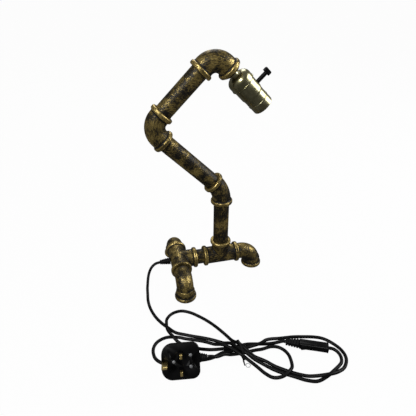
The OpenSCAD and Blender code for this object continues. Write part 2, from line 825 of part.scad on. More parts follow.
module case_solid(inset) {
  translate([boot_len, 0, 0]) intersection() {
    translate([case_len / 2, 0, inset - case_h / 2]) linear_extrude(case_h - 2 * inset)
      round_rect(case_len - 2 * inset, case_w - 2 * inset, case_r - inset);
    translate([inset, 0, 0]) rotate([90, 0, 90]) linear_extrude(case_len - 2 * inset)
      round_rect(case_w - 2 * inset, case_h - 2 * inset, case_r - inset);
  }
}

module case_collar() {
  translate([boot_len + case_len - collar_l, 0, 0]) rotate([90, 0, 90])
    linear_extrude(collar_l) round_rect(collar_w, case_h, case_r);
}

// The half of the case on one side (-1 is the rocker's), hollow and with screw posts
module half_case(side) {
  difference() {
    union() {
      difference() {
        union() {
          case_solid(0);
          case_collar();
        }
        case_solid(wall);
      }
      intersection() {
        case_solid(0);
        for (x = screw_xs) translate([x, 0, 0]) rotate([90, 0, 0])
          cylinder(d = 5, h = case_w, center = true);
      }
    }
    translate([0, side > 0 ? -case_w : 0, -case_h]) cube([2 * case_len, case_w, 2 * case_h]);
  }
}

module switch_front() {
  slot = 2 * (rocker_r + thin);
  high = rocker_w + 2 * thin;
  color(black) at_switch() difference() {
    half_case(-1);
    translate([pivot_x - slot / 2, -case_w, -high / 2]) cube([slot, case_w - wall - cut, high]);
    translate([pivot_x, pivot_y, 0])
      cylinder(d = pivot_pin + tread, h = case_h - 0.6, center = true);
    for (x = screw_xs) translate([x, -case_w / 2 + wall, 0]) rotate([-90, 0, 0])
      cylinder(d = 2 + tread, h = case_w);
  }
}

module switch_back() {
  color(black) at_switch() difference() {
    half_case(1);
    for (x = screw_xs) translate([x, 0, 0]) rotate([-90, 0, 0]) {
      translate([0, 0, -cut]) cylinder(d = 2 + tread, h = case_w);
      translate([0, 0, case_w / 2 - 1.6]) cylinder(d = 4 + 2 * thin, h = case_w);
    }
  }
}

module switch_screws() {
  length = case_w - wall - 2;
  color(steel) at_switch() for (x = screw_xs)
    translate([x, case_w / 2 - 1.6, 0]) rotate([90, 0, 0]) {
      cylinder(d = 2, h = length);
      mirror([0, 0, 1]) cylinder(d = 4, h = 1.2);
    }
}

// One step of the boot, from x on for a length, as a round rectangle
module boot_step(x, length, size, r) {
  translate([x, 0, 0]) rotate([90, 0, 90]) linear_extrude(length) round_rect(size[0], size[1], r);
}

// A ribbed, tapered strain relief on the case's left end, nearly as wide as the case
module switch_boot() {
  ribs = 5;
  pitch = boot_len / ribs;
  root = [case_w - 2 * thin, case_h - 2 * thin];
  tip_share = 0.8; // what the boot's end is of its root
  groove = 1.8; // what the boot is narrower between its ribs
  color(black) at_switch() for (i = [0 : ribs - 1]) {
    size = root * (tip_share + (1 - tip_share) * i / (ribs - 1));
    boot_step(i * pitch, pitch, [size[0] - groove, size[1] - groove], case_r - groove / 2);
    boot_step(i * pitch, pitch * 0.6, size, case_r);
  }
}

// A rocker with a shallow V on top, on a pin across the case. At rest its left end stands out.
module switch_rocker() {
  color(black) at_switch() translate([pivot_x, pivot_y, 0]) rotate([0, 0, rocker_turn / 2]) {
    translate([0, 0, -rocker_w / 2]) linear_extrude(rocker_w) intersection() {
      circle(rocker_r);
      polygon([[0, -2.9], rocker_tip, [rocker_r, -0.6], [5, 1], [1.8, 1.8],
        [-1.8, 1.8], [-5, 1], [-rocker_r, -0.6], [-rocker_tip[0], rocker_tip[1]]]);
    }
    cylinder(d = pivot_pin, h = case_h - 1.2, center = true);
  }
}

// Two sprung strips that stand on the back of the case
module switch_contacts() {
  strip = 0.6;
  foot_y = case_w / 2 - wall - thin;
  tall = foot_y + 0.9;
  color(bright) at_switch() for (x = [boot_len + 5, boot_len + 11])
    translate([x, foot_y, -2]) mirror([0, 1, 0]) linear_extrude(4)
      polygon([[-1.5, 0], [4, 0], [4, strip], [strip, strip], [strip, tall], [0, tall],
        [0, strip], [-1.5, strip]]);
}

// ---------- plug ----------

plug_tilt = 90 - atan((plug_w - back_w) / 2 / (plug_depth - plate_h));
plug_z = plug_w / 2 * sin(plug_tilt) + plate_h * cos(plug_tilt);
plug_yaw = 82;
plug_at = [-92.5, -208]; // middle between the live and neutral pins
cord_r = 11; // corner radius of the body at the lead's end
earth_r = 15.5; // and at the earth pin's end
plug_mid = 0.5; // the body's middle, along y
face_t = 3;
shell_t = 2;
edge = 1.5; // chamfer round the cover's back
end_taper = 4; // how much shorter than the face the cover's back is, at each end
blade = 4; // thickness of the pins
blade_w = 6.35;
earth_w = 8;
block_h = 3.5; // of the live and neutral pins' heads inside
fuse_d = 6.35;
fuse_len = 25.4;
fuse_x = 13.6;
fuse_z = -face_t - block_h - 0.5 - fuse_d / 2 - thin;
grip_y = -13.4;
boot_z = -11;
screw_places = [[0, 10], [-7.8, grip_y], [7.8, grip_y]];
screw_d = 3;
head_d = 4.4; // of the plug's screws

// x points to the live pin, y to the earth pin and z out of the pin face. The plug lies
// on one sloping side of its cover.
module at_plug() {
  translate([plug_at[0], plug_at[1], plug_z]) rotate([0, 0, plug_yaw]) rotate([0, -plug_tilt, 0])
    children();
}

// The body's outline, so much smaller at the sides and ends
module plug_outline(in_x, in_y) {
  translate([0, plug_mid]) hull() for (x = [-1, 1], y = [-1, 1]) {
    r = (y > 0 ? earth_r : cord_r) - in_x / 2;
    translate([x * (plug_w / 2 - in_x - r), y * (plug_len / 2 - in_y - r)]) circle(r);
  }
}

module plug_base() {
  color(black) at_plug() difference() {
    translate([0, 0, -plate_h]) linear_extrude(plate_h) plug_outline(0, 0);
    translate([0, 0, -plate_h - cut]) linear_extrude(plate_h + cut - face_t)
      plug_outline(shell_t + 1, shell_t + 1);
    for (x = [-1, 1]) translate([x * pin_pitch / 2, 0, -plate_h])
      linear_extrude(2 * plate_h) square([blade_w + tread, blade + tread], center = true);
    translate([0, pin_pitch, -plate_h]) linear_extrude(2 * plate_h)
      square([blade + tread, earth_w + tread], center = true);
    for (q = screw_places) translate([q[0], q[1], -plate_h]) {
      cylinder(d = screw_d + tread, h = 2 * plate_h);
      translate([0, 0, plate_h - 1.5]) cylinder(d = head_d + 2 * thin, h = 2);
    }
  }
}

// How far the cover's sides and ends have drawn in at a depth below the pin face
function side_in(depth) = (plug_w - back_w) / 2 * (depth - plate_h) / (plug_depth - plate_h);
function end_in(depth) = end_taper * (depth - plate_h) / (plug_depth - plate_h);

module cover_body(inset) {
  sheer = 0.01;
  hull() {
    translate([0, 0, -plate_h - sheer]) linear_extrude(sheer) plug_outline(inset, inset);
    translate([0, 0, edge - plug_depth]) linear_extrude(sheer)
      plug_outline(side_in(plug_depth - edge) + inset, end_in(plug_depth - edge) + inset);
    translate([0, 0, inset - plug_depth]) linear_extrude(sheer)
      plug_outline(side_in(plug_depth) + edge + inset, end_taper + edge + inset);
  }
}

module plug_cover() {
  color(black) at_plug() {
    difference() {
      cover_body(0);
      difference() {
        cover_body(shell_t + 0.5);
        translate([screw_places[0][0], screw_places[0][1], -plug_depth])
          cylinder(d = 7, h = plug_depth);
      }
      translate([screw_places[0][0], screw_places[0][1], -plug_depth + 5])
        cylinder(d = screw_d + tread, h = plug_depth);
      translate([0, 0, boot_z]) rotate([90, 0, 0]) cylinder(d = 8 + tread, h = plug_len);
    }
  }
}

// A pin of a width and length with a chamfered tip. neck is how much thinner it is under a
// sleeve of a given length.
module pin(w, d, len, sleeve, neck) {
  tip = 1.5;
  translate([0, 0, -face_t]) linear_extrude(face_t + len - tip)
    square([w - neck, d - neck], center = true);
  translate([0, 0, sleeve]) linear_extrude(len - tip - sleeve) square([w, d], center = true);
  translate([0, 0, len - tip]) intersection() {
    sloped(w, d, tip);
    rotate([0, 0, 90]) sloped(d, w, tip);
  }
}

// The part of a pin inside the plug, wider than the pin by a border
module pin_head(w, d, border, h) {
  translate([0, 0, -face_t - h]) linear_extrude(h)
    square([w + border, d + border], center = true);
}

// A block whose two sides along y slope in towards its top
module sloped(w, d, h) {
  in = h / 2;
  rotate([90, 0, 0]) linear_extrude(d, center = true)
    polygon([[-w / 2, 0], [w / 2, 0], [w / 2 - in, h], [in - w / 2, h]]);
}

sleeve_l = 9.5;
sleeve_t = 0.6;

module live_pin() {
  color(bright) at_plug() translate([pin_pitch / 2, 0, 0]) {
    pin(blade_w, blade, pin_len, sleeve_l, 2 * sleeve_t);
    pin_head(blade_w, blade, 2, block_h);
  }
}

module neutral_pin() {
  color(bright) at_plug() translate([-pin_pitch / 2, 0, 0]) {
    pin(blade_w, blade, pin_len, sleeve_l, 2 * sleeve_t);
    pin_head(blade_w, blade, 2, block_h);
  }
}

module earth_pin() {
  color(bright) at_plug() translate([0, pin_pitch, 0]) {
    pin(blade, earth_w, earth_len, 0, 0);
    pin_head(blade, earth_w, 0, plate_h - face_t - thin);
  }
}

module pin_sleeves() {
  color(black) at_plug() for (x = [-1, 1]) translate([x * pin_pitch / 2, 0, -face_t])
    linear_extrude(face_t + sleeve_l) difference() {
      square([blade_w, blade], center = true);
      square([blade_w - 2 * sleeve_t + tread / 2, blade - 2 * sleeve_t + tread / 2], center = true);
    }
}

fuse_y = 3 + 4 - fuse_len / 2; // its upper end lies under the live pin's head

module plug_fuse() {
  color(steel) at_plug() translate([fuse_x, fuse_y, fuse_z]) rotate([90, 0, 0])
    cylinder(d = fuse_d, h = fuse_len, center = true);
}

// Two sprung clips over the fuse's ends
module fuse_clips() {
  clip_t = 0.5;
  clip_l = 5;
  color(bright) at_plug() for (y = [fuse_y + fuse_len / 2 - 3, fuse_y - fuse_len / 2 + 3])
    translate([fuse_x, y, fuse_z]) rotate([90, 0, 0]) linear_extrude(clip_l, center = true)
      difference() {
        circle(fuse_d / 2 + thread_gap + clip_t);
        circle(fuse_d / 2 + thread_gap);
        translate([-fuse_d, -2 * fuse_d - 1]) square(2 * fuse_d);
      }
}

// A bar that the two lower screws draw against the lead
module cord_grip() {
  bar = [19.6, 5.6, 3];
  color(fibre) at_plug() translate([0, grip_y, boot_z - cord_d / 2 - thin - bar[2]]) difference() {
    translate([-bar[0] / 2, -bar[1] / 2, 0]) cube(bar);
    for (x = [1, 2]) translate([screw_places[x][0], 0, -cut])
      cylinder(d = screw_d + tread, h = 3 * bar[2]);
  }
}

module plug_screws() {
  head_h = 1.2;
  color(steel) at_plug() for (q = screw_places)
    translate([q[0], q[1], -1.5]) {
      cylinder(d = head_d, h = head_h);
      mirror([0, 0, 1]) cylinder(d = screw_d, h = plug_depth - 7);
    }
}

// A ribbed strain relief, held in the cover's lower end
module plug_boot() {
  root_y = plug_len / 2 - plug_mid;
  out = 11;
  ribs = 3;
  color(black) at_plug() translate([0, -root_y, boot_z]) rotate([90, 0, 0]) {
    translate([0, 0, -4]) cylinder(d = 8, h = 5);
    translate([0, 0, thin]) cylinder(d1 = 11, d2 = 7, h = out - thin);
    for (i = [0 : ribs - 1])
      translate([0, 0, thin + i * 3.2]) cylinder(d = 13.2 - 1.9 * i, h = 1.8);
  }
}

// ---------- the lamp, piece by piece ----------

front_foot_elbow();
back_foot_elbow();
right_foot_elbow();
foot_tee();
tee_nipple();
riser_tee();
cord_gland();
gland_nut();
base_cable();
riser_pipe();
low_elbow();
lower_arm_pipe();
lower_arm_cable();
knee_elbow();
upper_arm_pipe();
upper_arm_cable();
head_elbow();
reducing_bush();
thread_nipple();
socket_cap();
cap_insulator();
socket_shell();
shell_liner();
switch_block();
screw_shell();
centre_contact();
terminal_screws();
head_cable();
head_wires();
key_spindle();
key_knob();
lead_cord();
tail_cord();
cord_tie();
tie_wire();
switch_front();
switch_back();
switch_boot();
switch_contacts();
switch_screws();
switch_rocker();
plug_base();
plug_cover();
live_pin();
neutral_pin();
earth_pin();
pin_sleeves();
plug_fuse();
fuse_clips();
cord_grip();
plug_screws();
plug_boot();
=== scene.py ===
# %% [markdown]
# # A pipe lamp, dressed for its portrait
# The lamp's pipes, fittings, lamp holder, switch and plug come in as finished solids. This
# script is the part of the work that a painter and an electrician would recognise: it lays the
# lead as fine round cord, paints the iron, polishes the brass and cuts the threads.

# %% Open the lamp
import bmesh
import bpy
import json
import math
import numpy as np
from mathutils import Matrix, Vector


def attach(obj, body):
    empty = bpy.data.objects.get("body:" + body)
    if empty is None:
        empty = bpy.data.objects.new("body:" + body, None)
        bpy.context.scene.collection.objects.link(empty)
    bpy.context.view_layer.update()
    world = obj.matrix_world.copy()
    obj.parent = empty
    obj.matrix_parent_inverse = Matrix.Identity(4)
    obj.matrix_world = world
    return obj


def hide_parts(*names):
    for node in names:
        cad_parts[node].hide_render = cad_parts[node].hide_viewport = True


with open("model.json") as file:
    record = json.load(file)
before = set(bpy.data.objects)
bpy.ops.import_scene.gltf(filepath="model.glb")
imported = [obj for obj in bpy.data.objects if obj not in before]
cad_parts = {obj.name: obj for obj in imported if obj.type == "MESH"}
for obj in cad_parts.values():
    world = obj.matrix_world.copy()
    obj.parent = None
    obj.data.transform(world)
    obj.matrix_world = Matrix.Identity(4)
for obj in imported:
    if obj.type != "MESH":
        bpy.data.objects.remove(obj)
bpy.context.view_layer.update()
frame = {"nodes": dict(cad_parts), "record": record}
nodes = frame["nodes"]
MM = 0.001

# %% [markdown]
# ## The camera
# A catalogue camera stands on the left of the lamp, a little over half a metre away, and looks
# down at it. Its place and angles were worked out from the known sizes of the pipes, so they are
# written as numbers: where the lens is, how far it turns to the right, how far it dips, and a
# trace of roll. The focal length follows from the width of the picture.

# %% Set up the camera
IMAGE = 416
FOCAL_PX = 373.73
EYE = Vector((-136.91, -538.17, 470.56)) * MM
TURN, DIP, ROLL = 0.24236, 0.54286, 0.0043

ahead = Vector((math.sin(TURN) * math.cos(DIP), math.cos(TURN) * math.cos(DIP), -math.sin(DIP)))
level = Vector((math.cos(TURN), -math.sin(TURN), 0))
upward = level.cross(ahead)
side = math.cos(ROLL) * level + math.sin(ROLL) * upward
top = -math.sin(ROLL) * level + math.cos(ROLL) * upward

lens_data = bpy.data.cameras.new("catalogue_camera")
lens_data.sensor_width = 36
lens_data.lens = FOCAL_PX / IMAGE * lens_data.sensor_width
lens_data.clip_start, lens_data.clip_end = 0.01, 60
camera = bpy.data.objects.new("catalogue_camera", lens_data)
camera.matrix_world = Matrix((
    (side.x, top.x, -ahead.x, EYE.x),
    (side.y, top.y, -ahead.y, EYE.y),
    (side.z, top.z, -ahead.z, EYE.z),
    (0, 0, 0, 1)))
bpy.context.scene.collection.objects.link(camera)
bpy.context.scene.camera = camera
bpy.context.scene.view_settings.view_transform = "Standard"
print("lens: %.1f mm" % lens_data.lens)

# %% [markdown]
# ## Where the lead runs
# A mains lead is a stiff, springy cord: it leaves its gland straight, falls to the table in one
# bend, and then lies in wide curves. A curve object with a round bevel would draw it, but a mesh
# tube gives each point a place along and around the cord, which its finish can use. So the route
# is a list of points, in millimetres, with a smooth curve led through them.

# %% Points along the lead
LEAD_ROUTE = [
    (-93.46, 0, 33), (-101.8, -0.5, 31.6), (-108.7, -2.3, 27.3), (-113.6, -5.4, 21.3),
    (-116.9, -9.6, 14.8), (-119.1, -15.1, 8.8), (-120.7, -22, 4.2), (-122, -30, 2.5),
    (-123, -44, 2.5), (-124, -59, 2.5), (-123, -74, 2.5), (-120, -88, 2.5),
    (-115, -102, 2.5), (-108, -115, 2.5), (-100, -126, 2.5), (-90, -139, 3),
    (-77, -146, 2.5), (-63, -153, 2.5), (-50, -159, 2.5), (-37, -166, 2.5),
    (-23, -175, 2.5), (-13, -182, 7), (-6, -194, 10.5), (3, -206, 11),
    (13, -215, 5), (24, -225, 2.5), (34, -236, 3), (46, -245, 2.5),
    (59, -254, 3), (72, -262, 2.5), (86, -267, 2.5), (101, -264, 2.5),
    (114.5, -258.5, 2.5), (129.1, -251.4, 2.5), (134.9, -246.8, 2.5), (137.8, -239.9, 3.2),
    (137, -232.6, 4.5), (132.8, -226.4, 5.3), (126.3, -222.8, 5.5)
]
TAIL_ROUTE = [
    (69.15, -197.3, 5.5), (65, -195.5, 5.5), (54, -194, 3), (42, -192.5, 2.5),
    (30, -190, 2.5), (12, -186, 2.5), (-1, -187, 3.5), (-16, -186, 2.5),
    (-32, -185, 3), (-46, -182, 2.5), (-60, -177, 2.5), (-74, -169, 2.5),
    (-87, -160, 3), (-95, -150, 8), (-101, -135, 7.5), (-101, -122, 8),
    (-98, -109, 4), (-88, -99, 2.5), (-73, -97, 2.5), (-59, -104, 2.5),
    (-48, -114, 2.5), (-38, -125, 2.5), (-29, -137, 2.5), (-21, -150, 2.5),
    (-14, -163, 2.5), (-8, -176, 4), (-1, -188, 10), (7, -201, 9),
    (15, -209, 3), (28, -220, 2.5), (38, -231, 2.5), (49, -240, 2.5),
    (62, -249, 2.5), (75, -256, 2.5), (87, -261, 5.5), (102, -265, 9.5),
    (117, -264, 8), (132, -258, 5.5), (144, -244, 2.5), (145, -229, 2.5),
    (138, -214, 2.5), (128, -203, 2.5), (115, -197, 2.5), (100, -193, 2.5),
    (87, -190, 2.5), (75, -188.5, 2.5), (62, -187.5, 3), (50, -188, 6),
    (40, -190, 8.5), (31, -193, 8), (21, -193, 6), (10, -192.5, 3.5),
    (2, -194, 3.5), (-13, -192, 2.5), (-28, -192, 2.5), (-44, -197, 3),
    (-58, -197, 2.5), (-73, -195, 2.5), (-88, -192, 2.5), (-102, -191, 2.5),
    (-116, -189, 2.5), (-126, -178, 2.5), (-127, -162, 2.5), (-119, -150, 2.5),
    (-104, -145, 2.5), (-87, -149, 2.5), (-77, -154, 2.5), (-63, -160, 2.5),
    (-50, -166, 2.5), (-37, -174, 2.5), (-25, -182, 7.5), (-16, -191, 8.5),
    (-4, -205, 8), (5, -214, 3.5), (12, -224, 2.5), (20, -238, 2.5),
    (29, -249, 4.5), (42, -252, 8), (56, -245, 8.5), (63, -234, 3.5),
    (65, -217, 2.5), (58, -204, 2.5), (46, -199, 3), (31, -200, 3),
    (19, -199, 2.5), (1, -200, 3.5), (-16, -198, 2.5), (-27, -198, 6.5),
    (-40, -204.5, 13.5), (-49.6, -204.9, 17.2), (-54.2, -204.3, 17.2)
]
CORD_D = 5 * MM
print("route points:", len(LEAD_ROUTE), "and", len(TAIL_ROUTE))

# %% [markdown]
# The curve goes through every point, and between two points its direction comes from their
# neighbours. That keeps the bends as round as a real lead's. It never dips below the table.

# %% A smooth line through points
def smooth_line(points, steps=6):
    p = [np.array(q, float) * MM for q in points]
    p = [2 * p[0] - p[1]] + p + [2 * p[-1] - p[-2]]
    line = []
    for a, b, c, d in zip(p, p[1:], p[2:], p[3:]):
        for k in range(steps):
            t = k / steps
            line.append((2 * b + (c - a) * t + (2 * a - 5 * b + 4 * c - d) * t * t
                         + (3 * b - a - 3 * c + d) * t ** 3) / 2)
    line.append(p[-2])
    line = np.array(line)
    line[:, 2] = np.maximum(line[:, 2], CORD_D / 2)
    return line


def line_length(line):
    return float(np.linalg.norm(np.diff(line, axis=0), axis=1).sum())


lead_line = smooth_line(LEAD_ROUTE)
tail_line = smooth_line(TAIL_ROUTE)
print("lead %.0f mm, tail %.0f mm" % (line_length(lead_line) / MM, line_length(tail_line) / MM))

# %% [markdown]
# A tube is a row of rings joined by quads. Each ring stands square to the line, and carries on
# from the ring before with no twist. The UV map runs around the tube in u and along it, in
# metres, in v, so that a finish can follow the cord.

# %% A tube along a line
def shade_smooth(mesh):
    mesh.polygons.foreach_set("use_smooth", [True] * len(mesh.polygons))


def new_piece(name, points, faces):
    mesh = bpy.data.meshes.new(name)
    mesh.from_pydata([tuple(p) for p in points], [], faces)
    mesh.validate()
    shade_smooth(mesh)
    mesh.update()
    piece = bpy.data.objects.new(name, mesh)
    bpy.context.scene.collection.objects.link(piece)
    return piece


AROUND = 16  # points in a ring


def rings_along(line, radius):
    way = np.gradient(line, axis=0)
    way /= np.linalg.norm(way, axis=1)[:, None]
    u = np.cross(way[0], (0, 0, 1))
    u /= np.linalg.norm(u)
    turn = np.arange(AROUND) * 2 * math.pi / AROUND
    rings = []
    for p, t in zip(line, way):
        u = u - (u @ t) * t
        u /= np.linalg.norm(u)
        v = np.cross(t, u)
        rings.append(p + radius * (np.outer(np.cos(turn), u) + np.outer(np.sin(turn), v)))
    return rings


def tube(name, line, radius):
    rings = rings_along(line, radius)
    walls = (len(rings) - 1) * AROUND
    faces = []
    for first in range(0, walls, AROUND):
        for k in range(AROUND):
            here, beside = first + k, first + (k + 1) % AROUND
            faces.append((here, beside, beside + AROUND, here + AROUND))
    faces.append(tuple(range(AROUND))[::-1])
    faces.append(tuple(range(walls, walls + AROUND)))
    piece = new_piece(name, np.vstack(rings), faces)
    along = np.concatenate([[0], np.cumsum(np.linalg.norm(np.diff(line, axis=0), axis=1))])
    uv = piece.data.uv_layers.new(name="along_cord")
    for poly in piece.data.polygons:
        closes = poly.index < walls and poly.index % AROUND == AROUND - 1
        for corner in poly.loop_indices:
            ring, k = divmod(piece.data.loops[corner].vertex_index, AROUND)
            uv.data[corner].uv = ((k or AROUND) / AROUND if closes else k / AROUND, along[ring])
    return piece


lead = tube("lead_outer", lead_line, CORD_D / 2)
tail = tube("tail_outer", tail_line, CORD_D / 2)
print("cord faces:", len(lead.data.polygons) + len(tail.data.polygons))

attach(lead, "base")
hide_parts("lead_cord")
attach(tail, "base")
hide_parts("tail_cord")

# %% [markdown]
# ## Floor and light
# A small studio: a white sweep under the lamp, a soft light in front on the left, a broad one on
# the right, a weak one behind and an even grey sky. To the camera the floor glows white, but for
# a small matt share that keeps the shadow under the feet. In reflections it is dark, as if black
# cards stood round the lamp, because that gives iron and brass their contrast.

# %% The white floor
def blank_material(name):
    material = bpy.data.materials.new(name)
    material.use_nodes = True
    material.node_tree.nodes.clear()
    return material


def add(tree, kind, **values):
    node = tree.nodes.new(kind)
    for key, value in values.items():
        if key in node.inputs:
            node.inputs[key].default_value = value
        else:
            setattr(node, key, value)
    return node


GLOW_SHARE = 0.97  # of what the camera sees of the floor, the part that glows
IN_MIRRORS = 0.1  # how bright the floor is in reflections
MATT_GREY = (0.5, 0.5, 0.5, 1)
WHITE = (1, 1, 1, 1)


def white_paper():
    material = blank_material("white_paper")
    tree = material.node_tree
    matt = add(tree, "ShaderNodeBsdfDiffuse", Color=MATT_GREY)
    white = add(tree, "ShaderNodeEmission", Color=WHITE)
    path = add(tree, "ShaderNodeLightPath")
    glow = add(tree, "ShaderNodeMapRange")
    glow.inputs["To Min"].default_value = IN_MIRRORS
    seen = add(tree, "ShaderNodeMath", operation="MAXIMUM")
    share = add(tree, "ShaderNodeMath", operation="MULTIPLY")
    share.inputs[1].default_value = GLOW_SHARE
    mix = add(tree, "ShaderNodeMixShader")
    out = add(tree, "ShaderNodeOutputMaterial")
    tree.links.new(path.outputs["Is Camera Ray"], glow.inputs["Value"])
    tree.links.new(glow.outputs["Result"], white.inputs["Strength"])
    tree.links.new(path.outputs["Is Camera Ray"], share.inputs[0])
    tree.links.new(share.outputs[0], seen.inputs[0])
    tree.links.new(path.outputs["Is Glossy Ray"], seen.inputs[1])
    tree.links.new(seen.outputs[0], mix.inputs[0])
    tree.links.new(matt.outputs[0], mix.inputs[1])
    tree.links.new(white.outputs[0], mix.inputs[2])
    tree.links.new(mix.outputs[0], out.inputs["Surface"])
    return material


SWEEP = 30.0
CORNERS = ((-1, -1), (1, -1), (1, 1), (-1, 1))
floor = new_piece("studio_floor", [(SWEEP * x, SWEEP * y, 0) for x, y in CORNERS], [(0, 1, 2, 3)])
floor.data.materials.append(white_paper())
print("floor:", 2 * SWEEP, "m square")

# %% Lamps and sky
LIT_POINT = Vector((0, -0.03, 0.18))


def soft_lamp(name, at, size, watts):
    data = bpy.data.lights.new(name, "AREA")
    data.shape = "DISK"
    data.size = size
    data.energy = watts
    lamp = bpy.data.objects.new(name, data)
    lamp.location = at
    lamp.rotation_euler = (LIT_POINT - Vector(at)).to_track_quat("-Z", "Y").to_euler()
    bpy.context.scene.collection.objects.link(lamp)


soft_lamp("key_lamp", (-0.95, -1.0, 1.5), 0.6, 24)
soft_lamp("fill_lamp", (1.35, -0.2, 0.85), 1.0, 17)
soft_lamp("back_lamp", (0.3, 1.5, 1.4), 0.8, 7)

sky = bpy.data.worlds.new("studio_sky")
bpy.context.scene.world = sky
sky.use_nodes = True
sky.node_tree.nodes.clear()
sky_tree = sky.node_tree
even, mirrored, white = (add(sky_tree, "ShaderNodeBackground", Color=WHITE, Strength=strength)
                         for strength in (0.35, 0.16, 1.0))
seen = add(sky_tree, "ShaderNodeLightPath")
in_gloss = add(sky_tree, "ShaderNodeMixShader")
in_camera = add(sky_tree, "ShaderNodeMixShader")
sky_out = add(sky_tree, "ShaderNodeOutputWorld")
sky_tree.links.new(seen.outputs["Is Glossy Ray"], in_gloss.inputs[0])
sky_tree.links.new(even.outputs[0], in_gloss.inputs[1])
sky_tree.links.new(mirrored.outputs[0], in_gloss.inputs[2])
sky_tree.links.new(seen.outputs["Is Camera Ray"], in_camera.inputs[0])
sky_tree.links.new(in_gloss.outputs[0], in_camera.inputs[1])
sky_tree.links.new(white.outputs[0], in_camera.inputs[2])
sky_tree.links.new(in_camera.outputs[0], sky_out.inputs["Surface"])
print("lamps:", len(bpy.data.lights))

# %% [markdown]
# ## Brushed iron
# The fittings are black cast iron, dry-brushed with antique gold: a nearly empty brush leaves
# short streaks that catch on what stands proud, most of all on the rims. One material makes it
# from four masks: stretched noise for the brush's hairs, patches where the brush was pressed
# harder, a fine grit, and an attribute that says how far each point stands out from its fitting.

# %% Helpers for finishes
def mapped(tree, turn=(0, 0, 0), stretch=(1, 1, 1)):
    place = add(tree, "ShaderNodeTexCoord")
    mapping = add(tree, "ShaderNodeMapping")
    mapping.inputs["Rotation"].default_value = turn
    mapping.inputs["Scale"].default_value = stretch
    tree.links.new(place.outputs["Object"], mapping.inputs["Vector"])
    return mapping.outputs[0]


def noise(tree, vector, scale, detail=4, rough=0.55, distort=0.0):
    node = add(tree, "ShaderNodeTexNoise", Scale=scale, Detail=detail, Roughness=rough,
               Distortion=distort)
    tree.links.new(vector, node.inputs["Vector"])
    return node.outputs["Fac"]


def math_of(tree, operation, a, b):
    node = add(tree, "ShaderNodeMath", operation=operation)
    for socket, value in zip(node.inputs, (a, b)):
        if isinstance(value, (int, float)):
            socket.default_value = value
        else:
            tree.links.new(value, socket)
    return node.outputs[0]


def ramp(tree, value, low, high):
    node = add(tree, "ShaderNodeMapRange", interpolation_type="SMOOTHSTEP")
    node.inputs["From Min"].default_value = low
    node.inputs["From Max"].default_value = high
    tree.links.new(value, node.inputs["Value"])
    return node.outputs["Result"]


SHARE, COLOUR_A, COLOUR_B, BLENDED = 0, 6, 7, 2  # a colour Mix node's sockets


def blend_colours(tree, share, dark, light):
    node = add(tree, "ShaderNodeMix", data_type="RGBA")
    for socket, colour in ((COLOUR_A, dark), (COLOUR_B, light)):
        if isinstance(colour, tuple):
            node.inputs[socket].default_value = (*colour, 1)
        else:
            tree.links.new(colour, node.inputs[socket])
    tree.links.new(share, node.inputs[SHARE])
    return node.outputs[BLENDED]


def bump(tree, height, depth, strength):
    node = add(tree, "ShaderNodeBump", Strength=strength, Distance=depth)
    tree.links.new(height, node.inputs["Height"])
    return node.outputs["Normal"]


def shader(tree, **values):
    surface = add(tree, "ShaderNodeBsdfPrincipled", **values)
    out = add(tree, "ShaderNodeOutputMaterial")
    tree.links.new(surface.outputs[0], out.inputs["Surface"])
    return surface


# %% The brushed iron
BLACK_IRON = (0.0055, 0.0045, 0.003)
OLD_GOLD = (0.23, 0.165, 0.045)
PALE_GOLD = (0.66, 0.50, 0.19)
STREAKS, PATCHES, GRIT, RUB = 0.66, 0.50, 0.12, 0.15  # how much each mask wets the iron
GOLD_STARTS, GOLD_COVERS = 0.615, 0.775  # wetness
PALE_STARTS, PALE_COVERS = 0.68, 0.86
IRON_ROUGH, GOLD_SMOOTHER, GOLD_METAL = 0.46, 0.12, 0.9
PIT_DEPTH = 0.35 * MM


def brushed_iron(name, hairs, turn=(0, 0, 0)):
    """hairs are the noise's scales along x, y and z: low along the brush, high across it."""
    material = blank_material(name)
    tree = material.node_tree
    streaks = noise(tree, mapped(tree, turn, hairs), 1.0, detail=6, rough=0.68, distort=0.6)
    patches = noise(tree, mapped(tree), 55, detail=3, rough=0.55)
    grit = noise(tree, mapped(tree), 1500, detail=2, rough=0.6)
    proud = add(tree, "ShaderNodeAttribute", attribute_name="proud").outputs["Fac"]
    wet = math_of(tree, "MULTIPLY", streaks, STREAKS)
    for mask, share in ((patches, PATCHES), (grit, GRIT), (proud, RUB)):
        wet = math_of(tree, "ADD", wet, math_of(tree, "MULTIPLY", mask, share))
    gold = ramp(tree, wet, GOLD_STARTS, GOLD_COVERS)
    tone = blend_colours(tree, ramp(tree, wet, PALE_STARTS, PALE_COVERS), OLD_GOLD, PALE_GOLD)
    surface = shader(tree)
    surface.inputs["Specular IOR Level"].default_value = 0.22
    tree.links.new(blend_colours(tree, gold, BLACK_IRON, tone), surface.inputs["Base Color"])
    tree.links.new(math_of(tree, "MULTIPLY", gold, GOLD_METAL), surface.inputs["Metallic"])
    rough = math_of(tree, "SUBTRACT", IRON_ROUGH, math_of(tree, "MULTIPLY", gold, GOLD_SMOOTHER))
    tree.links.new(rough, surface.inputs["Roughness"])
    pitted = noise(tree, mapped(tree), 500, detail=4, rough=0.6)
    relief = math_of(tree, "ADD", math_of(tree, "MULTIPLY", pitted, 0.8), streaks)
    tree.links.new(bump(tree, relief, PIT_DEPTH, 0.75), surface.inputs["Normal"])
    return material


